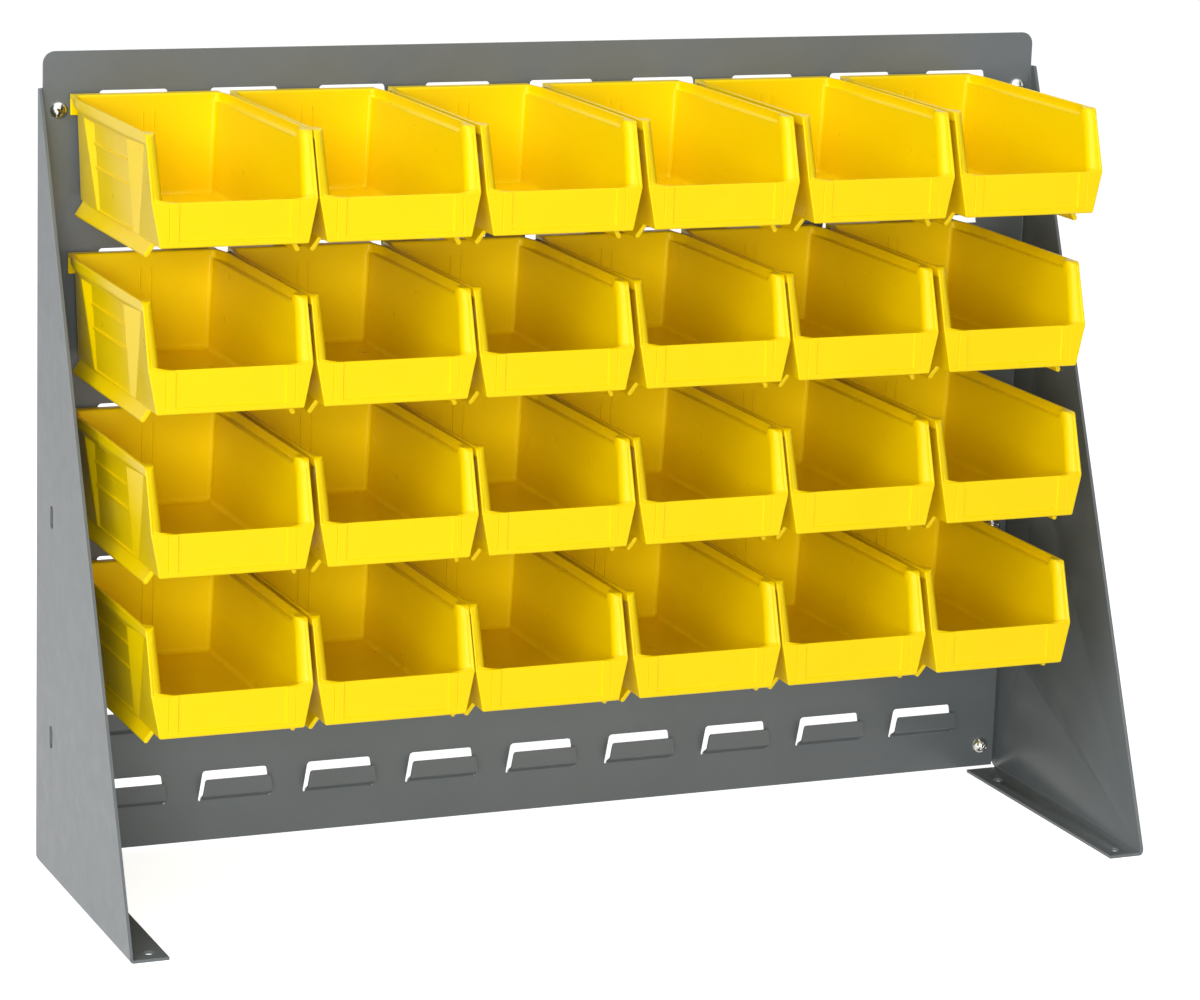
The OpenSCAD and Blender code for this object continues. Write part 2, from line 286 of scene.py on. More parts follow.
def use_group(tree, group, **inputs):
    """Places a group in a material and sets its inputs by name."""
    node = tree.nodes.new("ShaderNodeGroup")
    node.node_tree = group
    for name, value in inputs.items():
        node.inputs[name.replace("_", " ")].default_value = value
    return node


blotches, given, result = new_group(
    "blotches",
    [("Scale", "NodeSocketFloat", 20.0), ("Low", "NodeSocketFloat", 0.0), ("High", "NodeSocketFloat", 1.0)],
    [("Mask", "NodeSocketFloat")],
)
place = blotches.nodes.new("ShaderNodeTexCoord")
noise = add_node(blotches, "ShaderNodeTexNoise", Detail=4.0, Roughness=0.6)
spread = add_node(blotches, "ShaderNodeMapRange", From_Min=0.3, From_Max=0.7)
join(blotches, place.outputs["Object"], noise.inputs["Vector"])
join(blotches, given.outputs["Scale"], noise.inputs["Scale"])
join(blotches, noise.outputs["Fac"], spread.inputs["Value"])
join(blotches, given.outputs["Low"], spread.inputs["To Min"])
join(blotches, given.outputs["High"], spread.inputs["To Max"])
join(blotches, spread.outputs["Result"], result.inputs["Mask"])

fine_skin, given, result = new_group(
    "fine skin",
    [
        ("Scale", "NodeSocketFloat", 800.0), ("Strength", "NodeSocketFloat", 0.1),
        ("Height", "NodeSocketFloat", 0.0001),
    ],
    [("Normal", "NodeSocketVector")],
)
place = fine_skin.nodes.new("ShaderNodeTexCoord")
noise = add_node(fine_skin, "ShaderNodeTexNoise", Detail=2.0, Roughness=0.5)
bump = fine_skin.nodes.new("ShaderNodeBump")
join(fine_skin, place.outputs["Object"], noise.inputs["Vector"])
join(fine_skin, given.outputs["Scale"], noise.inputs["Scale"])
join(fine_skin, noise.outputs["Fac"], bump.inputs["Height"])
join(fine_skin, given.outputs["Strength"], bump.inputs["Strength"])
join(fine_skin, given.outputs["Height"], bump.inputs["Distance"])
join(fine_skin, bump.outputs["Normal"], result.inputs["Normal"])
print("node groups:", [g.name for g in bpy.data.node_groups])

# %% [markdown]
# ## Yellow moulded plastic
# The bins are injection moulded from a hard, waxy plastic. It is glossy where the mould was
# polished, with a very fine grain, and its colour flows a little warmer and cooler through the
# part. A noise mask mixes two close yellows and moves the roughness up and down, and the fine skin
# breaks up the reflections.

# %% Yellow plastic
YELLOW_BRIGHT = (0.955, 0.700, 0.000, 1)
YELLOW_WARM = (0.940, 0.670, 0.000, 1)
PLASTIC_SPECULAR = 0.22

yellow_plastic, tree, shader = new_material("yellow plastic")
flow = use_group(tree, blotches, Scale=9.0)
tint = tree.nodes.new("ShaderNodeMix")
tint.data_type = "RGBA"
tint.inputs["A"].default_value = YELLOW_WARM
tint.inputs["B"].default_value = YELLOW_BRIGHT
gloss = use_group(tree, blotches, Scale=45.0, Low=0.27, High=0.34)
grain = use_group(tree, fine_skin, Scale=900.0, Strength=0.03, Height=0.0001)
join(tree, flow.outputs["Mask"], tint.inputs["Factor"])
join(tree, tint.outputs["Result"], shader.inputs["Base Color"])
join(tree, gloss.outputs["Mask"], shader.inputs["Roughness"])
join(tree, grain.outputs["Normal"], shader.inputs["Normal"])
shader.inputs["Specular IOR Level"].default_value = PLASTIC_SPECULAR
print("finish:", yellow_plastic.name)

# %% [markdown]
# ## Grey paint
# The steel is sprayed with a semi-gloss grey. Sprayed paint dries with a faint orange peel. The
# rounded edge faces of each sheet carry a mark called edge, which the material reads as an attribute.
# There the colour is painted paler in patches: partly thinner paint on sharp edges, partly a painted
# highlight for the light line that the rounded edges catch.

# %% Grey paint
GREY_LIGHT = (0.132, 0.148, 0.157, 1)
GREY_DARK = (0.116, 0.131, 0.139, 1)
# Paler edge grey: partly thin paint on the edges, partly a painted highlight along the rounded edges.
GREY_EDGE_WEAR_AND_HIGHLIGHT = (0.240, 0.262, 0.270, 1)

grey_paint, tree, shader = new_material("grey paint")
coat = use_group(tree, blotches, Scale=14.0)
tint = tree.nodes.new("ShaderNodeMix")
tint.data_type = "RGBA"
tint.inputs["A"].default_value = GREY_DARK
tint.inputs["B"].default_value = GREY_LIGHT
edge_mark = tree.nodes.new("ShaderNodeAttribute")
edge_mark.attribute_name = "edge"
thin_paint_and_highlight_patches = use_group(tree, blotches, Scale=160.0, Low=0.25, High=0.9)
edge_wear_and_highlight = tree.nodes.new("ShaderNodeMath")
edge_wear_and_highlight.operation = "MULTIPLY"
pale = tree.nodes.new("ShaderNodeMix")
pale.data_type = "RGBA"
pale.inputs["B"].default_value = GREY_EDGE_WEAR_AND_HIGHLIGHT
gloss = use_group(tree, blotches, Scale=70.0, Low=0.29, High=0.36)
peel = use_group(tree, fine_skin, Scale=420.0, Strength=0.03, Height=0.0002)
join(tree, coat.outputs["Mask"], tint.inputs["Factor"])
# On the edge faces, patches of paler grey stand for thin paint and for a painted highlight.
join(tree, edge_mark.outputs["Fac"], edge_wear_and_highlight.inputs[0])
join(tree, thin_paint_and_highlight_patches.outputs["Mask"], edge_wear_and_highlight.inputs[1])
join(tree, edge_wear_and_highlight.outputs[0], pale.inputs["Factor"])
join(tree, tint.outputs["Result"], pale.inputs["A"])
join(tree, pale.outputs["Result"], shader.inputs["Base Color"])
join(tree, gloss.outputs["Mask"], shader.inputs["Roughness"])
join(tree, peel.outputs["Normal"], shader.inputs["Normal"])
print("finish:", grey_paint.name)

# %% [markdown]
# ## Bright zinc
# The screws and nuts are zinc plated: a bluish white metal with a hint of yellow where the plating
# is thinner. It is a metal through and through, so only its tint and its roughness vary.

# %% Bright zinc
ZINC_BLUE = (0.70, 0.73, 0.77, 1)
ZINC_STRAW = (0.74, 0.71, 0.62, 1)

bright_zinc, tree, shader = new_material("bright zinc")
film = use_group(tree, blotches, Scale=260.0)
tint = tree.nodes.new("ShaderNodeMix")
tint.data_type = "RGBA"
tint.inputs["A"].default_value = ZINC_STRAW
tint.inputs["B"].default_value = ZINC_BLUE
gloss = use_group(tree, blotches, Scale=900.0, Low=0.16, High=0.32)
grain = use_group(tree, fine_skin, Scale=2600.0, Strength=0.15, Height=0.0001)
join(tree, film.outputs["Mask"], tint.inputs["Factor"])
join(tree, tint.outputs["Result"], shader.inputs["Base Color"])
join(tree, gloss.outputs["Mask"], shader.inputs["Roughness"])
join(tree, grain.outputs["Normal"], shader.inputs["Normal"])
shader.inputs["Metallic"].default_value = 1.0
print("finish:", bright_zinc.name)

# %% [markdown]
# ## The bin's two skins
# A bin is a thin shell with an outside and an inside that differ: the outside steps out under the
# rim in a slope, while the inside has a flat ledge for stacking. Solidify would give one even wall,
# so two cups are drawn instead. Each starts as a floor outline and is pulled up edge by edge, and
# bridging their rims closes the wall. The outline has five pairs of corners along the bin. From the
# front they are the front edge, the crease where the sides start to flare, the outer edge of the
# front gusset, the ridge of the rear gusset, and the back. Marks on the vertices say which cup,
# level and pair they belong to, so that later steps can find their edges.

# %% Sizes of the bin
bin_low, bin_high = box_mm("bin_r1_c1")
BIN_W = bin_high.x - bin_low.x
BIN_L = bin_high.y - bin_low.y
BIN_H = bin_high.z - bin_low.z
BIN_WALL = 2.2
BASE_Z = 9.0
FRONT_Z = BASE_Z + 27.5
LEDGE_Z = BIN_H - 6.0
SLOPE_Z = 67.1
BACK_V = 6.15
RIM_HW = BIN_W / 2
BASE_HW = 44.8
LEDGE_HW = 47.2
FRONT_HW = 46.9
BACK_TAPER = 1.0
RIM_SETBACK = 13.7
GUSSET_V = 129.0
CREASE_V = (139.0, 155.0)
CREASE_HW = (45.4, 47.4)
GUSSET_HW = (45.9, 51.0)
RIDGE_V = (52.0, 38.0)
INNER_RIDGE_V = 45.0
LEDGE_END_V = (166.0, 161.0)
RIM_TURN_V = 24.0
RIM_BACK_HW = 48.8
OUTER, INNER = 0, 1
FRONT, CREASE, GUSSET, RIDGE, BACK = range(5)


def edge_v(z):
    """Distance of the sloping front edge from the lip at height z."""
    return BIN_L - RIM_SETBACK * max(0, z - FRONT_Z) / (BIN_H - FRONT_Z)


def between(z, low, high):
    """A value that goes evenly from low at the base to high under the rim."""
    return low + (high - low) * (min(z, SLOPE_Z) - BASE_Z) / (SLOPE_Z - BASE_Z)


def side_hw(z):
    """Half width of the plain side wall at height z."""
    return BASE_HW + (LEDGE_HW - BASE_HW) * (z - BASE_Z) / (LEDGE_Z - BASE_Z)


def gusset_hw(z):
    """Half width over the gussets, which grow out towards the rim."""
    return between(z, *GUSSET_HW)


print("bin:", [round(size, 1) for size in (BIN_W, BIN_L, BIN_H)])

# %% Cups pulled up level by level


def draw_cup(bm, cup, levels):
    """Pulls a floor outline up. A level has a height, and a half width and distance for each pair."""
    marks = [bm.verts.layers.int[name] for name in ("cup", "level", "corner")]
    pairs = len(levels[0][1])
    ring_verts = bmesh.ops.create_grid(bm, x_segments=1, y_segments=pairs - 1, size=1.0)["verts"]
    ring_verts.sort(key=lambda v: (round(v.co.y, 3), v.co.x))
    ring = [e for e in {e for v in ring_verts for e in v.link_edges} if e.is_boundary]
    for corner, v in enumerate(ring_verts):
        v[marks[2]] = corner
    for number, (z, outline) in enumerate(levels):
        if number:
            pulled = bmesh.ops.extrude_edge_only(bm, edges=ring)["geom"]
            ring_verts = only(bmesh.types.BMVert, pulled)
            fresh = set(ring_verts)
            ring = [e for e in only(bmesh.types.BMEdge, pulled) if fresh.issuperset(e.verts)]
        for v in ring_verts:
            pair, side = divmod(v[marks[2]], 2)
            half_width, distance = outline[pair]
            v[marks[0]] = cup
            v[marks[1]] = number
            v.co = ((2 * side - 1) * half_width, -distance, z)


def outer_level(z):
    """The outside of the bin below the rim."""
    front_hw = FRONT_HW + (RIM_HW - FRONT_HW) * min(1, (z - BASE_Z) / (FRONT_Z - BASE_Z))
    return z, [
        (front_hw, edge_v(z)), (between(z, *CREASE_HW), between(z, *CREASE_V)), (gusset_hw(z), GUSSET_V),
        (gusset_hw(z), between(z, *RIDGE_V)), (side_hw(z) - BACK_TAPER, BACK_V),
    ]


def outer_rim(z):
    """The outside of the rim, which turns in at the back."""
    return z, [
        (RIM_HW, edge_v(z)), (RIM_HW, CREASE_V[1]), (RIM_HW, GUSSET_V), (RIM_HW, RIM_TURN_V),
        (RIM_BACK_HW, BACK_V),
    ]


def inner_level(z, front):
    """The inside of the bin below the ledge."""
    half_width = side_hw(z) - BIN_WALL
    distances = (front, LEDGE_END_V[0], GUSSET_V, INNER_RIDGE_V, BACK_V + BIN_WALL)
    return z, [(half_width, v) for v in distances]


def inner_rim(z):
    """The inside of the rim above the ledge, which ends behind the broad front edges."""
    wall_hw = side_hw(z) - BIN_WALL
    half_width = RIM_HW - BIN_WALL
    return z, [
        (wall_hw, edge_v(z)), (wall_hw, LEDGE_END_V[0]), (half_width, LEDGE_END_V[1]),
        (half_width, RIM_TURN_V), (RIM_BACK_HW - BIN_WALL, BACK_V + BIN_WALL),
    ]


bin_bm = bmesh.new()
for name in ("cup", "level", "corner"):
    bin_bm.verts.layers.int.new(name)
draw_cup(bin_bm, OUTER, [
    outer_level(BASE_Z), outer_level(FRONT_Z), outer_level(SLOPE_Z), outer_rim(LEDGE_Z), outer_rim(BIN_H),
])
draw_cup(bin_bm, INNER, [
    inner_level(BASE_Z + BIN_WALL, BIN_L - BIN_WALL), inner_level(FRONT_Z, BIN_L - BIN_WALL),
    inner_level(LEDGE_Z, edge_v(LEDGE_Z)), inner_rim(LEDGE_Z), inner_rim(BIN_H),
])
corner_mark = bin_bm.verts.layers.int["corner"]
for v in bin_bm.verts:
    if v[corner_mark] < 2 and abs(v.co.z - SLOPE_Z) < 0.01:
        v.co.yz = -edge_v(LEDGE_Z), LEDGE_Z
open_front = [
    f for f in bin_bm.faces
    if all(v[corner_mark] < 2 for v in f.verts) and f.calc_center_median().z > FRONT_Z
]
bmesh.ops.delete(bin_bm, geom=open_front, context="FACES")
bmesh.ops.bridge_loops(bin_bm, edges=[e for e in bin_bm.edges if e.is_boundary])
bmesh.ops.remove_doubles(bin_bm, verts=bin_bm.verts[:], dist=0.001)
bmesh.ops.recalc_face_normals(bin_bm, faces=bin_bm.faces[:])
print("bin shell:", len(bin_bm.faces), "faces, open edges:", sum(e.is_boundary for e in bin_bm.edges))

# %% [markdown]
# ## How round each edge is
# Plastic flows badly into sharp corners, so every edge of a moulding is round, some a lot and some
# a little. The Bevel modifier can give each edge its own radius if the edge carries a weight. Here
# the marks decide the radius: a wide bead on the front edges, soft rear corners, and crisp small
# radii elsewhere. Edges that lie flat in a wall are dissolved, so that each wall is one clean face.

# %% Edge radii as bevel weights
LARGEST_R = 8.0
weight = bin_bm.edges.layers.float.new("bevel_weight_edge")
cup_mark = bin_bm.verts.layers.int["cup"]
level_mark = bin_bm.verts.layers.int["level"]

UPRIGHT_R = {
    (OUTER, FRONT): (0.9, 0.8, 0.8, 0.8),
    (OUTER, CREASE): (1.0, 1.0, 0, 0),
    (OUTER, GUSSET): (0.5, 0.5, 0, 0),
    (OUTER, RIDGE): (0.6, 0.6, 0, 6.0),
    (OUTER, BACK): (2.5, 2.5, 2.5, 2.5),
    (INNER, FRONT): (3.0, 6.0, 6.0, 6.0),
    (INNER, CREASE): (0, 0, 0, 1.2),
    (INNER, GUSSET): (0, 0, 0, 2.5),
    (INNER, RIDGE): (0, 0, 0, 4.0),
    (INNER, BACK): (2.6, 2.6, 2.0, 2.6),
}
LEVEL_R = {
    OUTER: {"side": (1.2, 0, 0.5, 1.2, 0.7), "front": (1.4, 0.5, 0, 0, 0), "back": (1.6, 0, 0, 0, 0.5)},
    INNER: {"side": (3.2, 0, 1.3, 1.2, 0.6), "front": (3.2, 0.5, 0, 0, 0), "back": (3.2, 0, 0, 0, 1.6)},
}
BRIDGE_R = {(1, FRONT): 2.6, (4, FRONT): 3.2}


def radius_of(edge):
    """The radius of a shell edge, from the marks on its two ends."""
    a, b = edge.verts
    pairs = sorted((a[corner_mark] // 2, b[corner_mark] // 2))
    level = min(a[level_mark], b[level_mark])
    cup = a[cup_mark]
    if cup != b[cup_mark]:
        return BRIDGE_R.get((level, pairs[0]), 0)
    if a[level_mark] != b[level_mark]:
        return UPRIGHT_R.get((cup, pairs[0]), (0, 0, 0, 0))[level]
    kind = "side" if pairs[0] != pairs[1] else {FRONT: "front", BACK: "back"}.get(pairs[0])
    return LEVEL_R[cup][kind][level] if kind else 0


for edge in bin_bm.edges:
    edge[weight] = radius_of(edge) / LARGEST_R


def lies_flat(edge):
    """Whether an edge lies in a flat wall, also where the ledge folds back on itself at the back wall."""
    if edge[weight] > 0:
        return False
    across_back = all(v[corner_mark] // 2 == BACK and 0 < v[level_mark] < 4 for v in edge.verts)
    return across_back or edge.calc_face_angle(1) < 0.002


flat = [e for e in bin_bm.edges if lies_flat(e)]
bmesh.ops.dissolve_edges(bin_bm, edges=flat, use_verts=True)
print("edges with a radius:", sum(e[weight] > 0 for e in bin_bm.edges), "- flat edges dissolved:", len(flat))

# %% [markdown]
# ## Sunk fields on the sides
# Seen from outside, the side wall has a gusset with a slanting ridge at the back, another one at
# the front and two thin ribs between them. It is easier to see the gussets as what is left over
# when the wall between them is sunk. Bisect planes cut the outlines into the side faces, an inset
# draws the rim, and the inner faces are moved in to the plain wall. At the back they also move
# forward, which leaves a slanting facet in front of the ridge. A second inset then lifts the two
# ribs off the sunk wall again.

# %% Sunk fields
RIB_T = 1.6
RIB_Z = (BIN_H - 23.5 - RIB_T, BIN_H - 38.4 - RIB_T)
FIELD_Z = (BASE_Z + 1.6, SLOPE_Z - 0.8)
FIELD_RIM = 0.35
RIB_OUT = 1.2
RIB_DRAFT = 0.2
SIDE_FROM_V = 45.0
FIELD_R = 0.4
FACET_RUN = 2.2


def side_faces():
    """Outer faces of both side walls between the ridge and the front gusset."""
    found = []
    for f in bin_bm.faces:
        middle = f.calc_center_median()
        outside = abs(abs(middle.x) - gusset_hw(middle.z)) < 0.1 and BASE_Z < middle.z < SLOPE_Z
        if outside and abs(f.normal.x) > 0.99 and SIDE_FROM_V < -middle.y < GUSSET_V:
            found.append(f)
    return found


for z in (*FIELD_Z, RIB_Z[0], RIB_Z[0] + RIB_T, RIB_Z[1], RIB_Z[1] + RIB_T):
    faces = side_faces()
    near = list({e for f in faces for e in f.edges}) + list({v for f in faces for v in f.verts})
    bmesh.ops.bisect_plane(bin_bm, geom=faces + near, dist=0.001, plane_co=(0, 0, z), plane_no=(0, 0, 1))


def in_rib(face):
    return any(low < face.calc_center_median().z < low + RIB_T for low in RIB_Z)


fields = [f for f in side_faces() if FIELD_Z[0] < f.calc_center_median().z < FIELD_Z[1]]
rims = bmesh.ops.inset_region(
    bin_bm, faces=fields, thickness=FIELD_RIM, depth=0, use_even_offset=True
)["faces"]
for v in {v for f in fields for v in f.verts}:
    depth = gusset_hw(v.co.z) - side_hw(v.co.z)
    v.co.x = math.copysign(side_hw(v.co.z), v.co.x)
    if -v.co.y < GUSSET_V / 2:
        v.co.y -= FACET_RUN * depth
ribs = [f for f in fields if in_rib(f)]
rib_sides = bmesh.ops.inset_individual(bin_bm, faces=ribs, thickness=RIB_DRAFT, depth=RIB_OUT)["faces"]
bin_bm.normal_update()
for edge in {e for face in fields + rims + rib_sides for e in face.edges}:
    if edge.calc_face_angle(0) > 0.05:
        edge[weight] = max(edge[weight], FIELD_R / LARGEST_R)
print("sunk fields:", len(fields) - len(ribs), "- ribs:", len(ribs))

# %% [markdown]
# ## Lip, rails and small ribs
# Three kinds of bar belong to the same moulding: the hanging lip across the back, the two stacking
# rails that flare out under the base, and a pair of thin ribs inside the back wall. Each is an
# outline that is extruded along a line. They reach a little into the shell, as the moulding is all
# one piece.

# %% Bars that join the shell
LIP_HW = 49.0
LIP_H = 13.5
HOOK_WEB = 2.6
LIP_R = 0.6
RAIL_START_V = 14.0
RAIL_END_V = BIN_L - 23.0
RAIL_T = 3.4
RAIL_TIP_HW = RIM_HW - 2.8
RAIL_SLANT = 2.0
RAIL_TOE = 0.8
RAIL_TOE_H = 1.6
RAIL_FOOT_W = 2.6
RAIL_R = 0.5
SMALL_RIB_HW = 3.7
SMALL_RIB_T = 1.2
SMALL_RIB_OUT = 0.8
SMALL_RIB_R = 0.35
SMALL_RIB_BELOW = 4.0


def pull_outline(corners, way, radius):
    """Extrudes a face along a way, gives its edges a radius and returns all vertices."""
    face = bin_bm.faces.new([bin_bm.verts.new(c) for c in corners])
    first = list(face.verts)
    pulled = bmesh.ops.extrude_face_region(bin_bm, geom=[face])["geom"]
    last = only(bmesh.types.BMVert, pulled)
    bmesh.ops.translate(bin_bm, verts=last, vec=way)
    for edge in {e for v in first + last for e in v.link_edges}:
        edge[weight] = radius / LARGEST_R
    return first + last


lip_outline = [
    (0, BIN_H - LIP_H), (0, BIN_H), (BACK_V + BIN_WALL / 2, BIN_H), (BACK_V + BIN_WALL / 2, BIN_H - HOOK_WEB),
    (BIN_WALL, BIN_H - HOOK_WEB), (BIN_WALL, BIN_H - LIP_H),
]
pull_outline([(-LIP_HW, -v, z) for v, z in lip_outline], (2 * LIP_HW, 0, 0), LIP_R)

rail_outline = [
    (BASE_HW - RAIL_T, BASE_Z + BIN_WALL / 2), (BASE_HW - RAIL_T, BASE_Z), (RAIL_TIP_HW - RAIL_FOOT_W, 0),
    (RAIL_TIP_HW - RAIL_TOE, 0), (RAIL_TIP_HW, RAIL_TOE_H), (BASE_HW, BASE_Z),
    (BASE_HW, BASE_Z + BIN_WALL / 2),
]
for side in (-1, 1):
    rail = pull_outline(
        [(side * x, -RAIL_START_V, z) for x, z in rail_outline], (0, RAIL_START_V - RAIL_END_V, 0), RAIL_R
    )
    for v in rail:
        if v.co.y < -BIN_L / 2:
            v.co.y += RAIL_SLANT * (1 - v.co.z / BASE_Z)
    rib_foot = BASE_Z + BIN_WALL / 2
    rib_x = side * SMALL_RIB_HW
    pull_outline(
        [
            (rib_x - SMALL_RIB_T / 2, -BACK_V - BIN_WALL / 2, rib_foot),
            (rib_x + SMALL_RIB_T / 2, -BACK_V - BIN_WALL / 2, rib_foot),
            (rib_x + SMALL_RIB_T / 2, -BACK_V - BIN_WALL - SMALL_RIB_OUT, rib_foot),
            (rib_x - SMALL_RIB_T / 2, -BACK_V - BIN_WALL - SMALL_RIB_OUT, rib_foot),
        ],
        (0, 0, LEDGE_Z - rib_foot - SMALL_RIB_BELOW), SMALL_RIB_R,
    )
bmesh.ops.recalc_face_normals(bin_bm, faces=bin_bm.faces[:])
print("bin drawing:", len(bin_bm.faces), "faces")

# %% [markdown]
# ## Rounding, and the label field
# Now one Bevel modifier rounds every edge by its weight. The label field on the front is so shallow
# that it is cut after the rounding: bisect planes score its outline and two grooves into the front
# wall, and the vertices inside are pushed back by less than a millimetre. A fine line beside the
# outer strip of each front edge is made alike.

# %% Round the bin and press the label field
LABEL_HW = 35.2
LABEL_D = 0.8
LABEL_FOOT_Z = BASE_Z + 4.0
LABEL_STEP = 0.5
GROOVE_X = 41.0
GROOVE_W = 0.9
GROOVE_D = 0.45
GROOVE_FOOT_Z = BASE_Z + 2.2
STRIP_W = 2.0
STRIP_LINE_W = 0.55
STRIP_LINE_D = 0.6
SKIN_D = 1.2
NEAR = 0.01

moulding = new_piece(bin_bm, "moulding")
rounding = moulding.modifiers.new("round edges", "BEVEL")
rounding.limit_method = "WEIGHT"
rounding.width = LARGEST_R
rounding.segments = 4
rounding.profile = 0.5
rounding.use_clamp_overlap = False
rounding.miter_outer = "MITER_SHARP"
apply_modifiers(moulding)

bin_bm = bmesh.new()
bin_bm.from_mesh(moulding.data)


def score_front(point, normal):
    """Cuts the outer skin of the front wall by a plane."""
    faces = [
        f for f in bin_bm.faces
        if all(-v.co.y > BIN_L - SKIN_D and v.co.z < FRONT_Z + NEAR for v in f.verts)
    ]
    near = list({e for f in faces for e in f.edges}) + list({v for f in faces for v in f.verts})
    bmesh.ops.bisect_plane(bin_bm, geom=faces + near, dist=0.0005, plane_co=point, plane_no=normal)


for x in (LABEL_HW, LABEL_HW - LABEL_STEP, GROOVE_X - GROOVE_W / 2, GROOVE_X, GROOVE_X + GROOVE_W / 2):
    for side in (-1, 1):
        score_front((side * x, 0, 0), (1, 0, 0))
for z in (LABEL_FOOT_Z, LABEL_FOOT_Z + LABEL_STEP, GROOVE_FOOT_Z):
    score_front((0, 0, z), (0, 0, 1))
pressed = 0
for v in bin_bm.verts:
    if -v.co.y < BIN_L - 1.0 or v.co.z > FRONT_Z + 0.01:
        continue
    x = abs(v.co.x)
    if x < LABEL_HW - LABEL_STEP + 0.01 and v.co.z > LABEL_FOOT_Z + LABEL_STEP - 0.01:
        v.co.y += LABEL_D
        pressed += 1
    elif abs(x - GROOVE_X) < 0.02 and v.co.z > GROOVE_FOOT_Z + 0.01:
        v.co.y += GROOVE_D
        pressed += 1
for side in (-1, 1):
    for shift in (-1, 0, 1):
        faces = [f for f in bin_bm.faces if f.normal.y < -0.85 and f.calc_center_median().z > FRONT_Z]
        near = list({e for f in faces for e in f.edges}) + list({v for f in faces for v in f.verts})
        x = side * (RIM_HW - STRIP_W + shift * STRIP_LINE_W)
        bmesh.ops.bisect_plane(bin_bm, geom=faces + near, dist=0.0005, plane_co=(x, 0, 0), plane_no=(1, 0, 0))
for v in bin_bm.verts:
    on_band = FRONT_Z + 1 < v.co.z < LEDGE_Z + 2 and -v.co.y > edge_v(v.co.z) - 0.5
    if on_band and abs(abs(v.co.x) - RIM_HW + STRIP_W) < 0.01:
        v.co.y += STRIP_LINE_D
        pressed += 1
for edge in bin_bm.edges:
    if len(edge.link_faces) == 2 and edge.calc_face_angle() > 0.6 and -edge.verts[0].co.y > BIN_L - 2:
        edge.smooth = False
bin_bm.to_mesh(moulding.data)
bin_bm.free()
weigh_normals(moulding)
print("bin moulding:", len(moulding.data.polygons), "faces, pressed points:", pressed)

# %% [markdown]
# ## Twenty-four bins from one moulding
# All bins come out of one mould, so the finished mesh is copied for each of them. The CAD box of
# each bin says where its copy goes. Every bin is a body of its own and can be lifted off the
# louvers.

# %% Hang the bins
bin_nodes = sorted(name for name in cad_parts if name.startswith("bin_"))
for node in bin_nodes:
    low, high = box_mm(node)
    hung = bpy.data.objects.new("hanging_" + node, moulding.data.copy())
    bpy.context.scene.collection.objects.link(hung)
    settle(hung, ((low.x + high.x) / 2, high.y, low.z))
    stand_for(hung, node, node, yellow_plastic)
bpy.data.objects.remove(moulding)
print("bins hung:", len(bin_nodes))

# %% [markdown]
# ## The louvered panel
# The panel is one steel sheet. A press lances each louver: it shears a slot on three sides and
# pushes the tongue forward in a soft double bend. The sheet starts as one face, bisect planes cut
# the slot outlines across it, and the slots are deleted. A slot is wider at its foot than at its
# top, so its lower corners are moved apart. The lower edge of each slot is then pulled up and
# forward in short steps to make the tongue.

# %% Panel sheet with slots
panel_low, panel_high = box_mm("louvered_panel")
PANEL_T = 1.5
PANEL_FACE_Y = panel_high.y - PANEL_T
PANEL_CORNER_R = 8.0
PANEL_TOP = panel_high.z
LOUVER_COLS = 9
LOUVER_ROWS = 10
LOUVER_PITCH = 73.6
ROW_PITCH = 50.8
TOP_MARGIN = 25.4
SLOT_W = 44.45
SLOT_H = 21.0
SLOT_LEAN = 3.4
SLOT_R = 2.0

columns = [(c - (LOUVER_COLS - 1) / 2) * LOUVER_PITCH for c in range(LOUVER_COLS)]
rows = [PANEL_TOP - TOP_MARGIN - k * ROW_PITCH for k in range(LOUVER_ROWS)]
panel_w = panel_high.x - panel_low.x
panel_h = panel_high.z - panel_low.z
panel_bm = bmesh.new()
upright_plane = (
    Matrix.Translation((0, PANEL_FACE_Y, panel_low.z + panel_h / 2))
    @ Matrix.Rotation(math.pi / 2, 4, "X")
    @ Matrix.Diagonal((panel_w, panel_h, 1, 1))
)
sheet = bmesh.ops.create_grid(panel_bm, x_segments=1, y_segments=1, size=0.5, matrix=upright_plane)
top_corners = [v for v in sheet["verts"] if v.co.z > panel_h / 2]
bmesh.ops.bevel(
    panel_bm, geom=top_corners, offset=PANEL_CORNER_R, segments=6, profile=0.5, affect="VERTICES", material=-1
)


def cut_panel(point, normal):
    everything = panel_bm.verts[:] + panel_bm.edges[:] + panel_bm.faces[:]
    bmesh.ops.bisect_plane(panel_bm, geom=everything, dist=0.001, plane_co=point, plane_no=normal)


for x in columns:
    for side in (-1, 1):
        cut_panel((x + side * SLOT_W / 2, 0, 0), (1, 0, 0))
for z in rows:
    cut_panel((0, 0, z), (0, 0, 1))
    cut_panel((0, 0, z - SLOT_H), (0, 0, 1))


def is_slot(face):
    middle = face.calc_center_median()
    in_column = any(abs(middle.x - x) < SLOT_W / 2 for x in columns)
    return in_column and any(z - SLOT_H < middle.z < z for z in rows)


slots = [f for f in panel_bm.faces if is_slot(f)]
slot_corners = list({v for f in slots for v in f.verts})
bmesh.ops.delete(panel_bm, geom=slots, context="FACES_ONLY")
for v in slot_corners:
    if any(abs(v.co.z - (z - SLOT_H)) < 0.01 for z in rows):
        v.co.x += math.copysign(SLOT_LEAN, v.co.x - min(columns, key=lambda c: abs(c - v.co.x)))
bmesh.ops.bevel(
    panel_bm, geom=slot_corners, offset=SLOT_R, segments=4, profile=0.5, affect="VERTICES", material=-1
)
print("panel sheet:", len(panel_bm.faces), "faces with", len(slots), "slots")

# %% [markdown]
# ## Tongues of the louvers
# All ninety tongues are pulled at the same time. Each step is one extrusion of the free edges,
# moved along an S shaped way: up out of the sheet, forward, and up again. A smooth step curve gives
# the S.

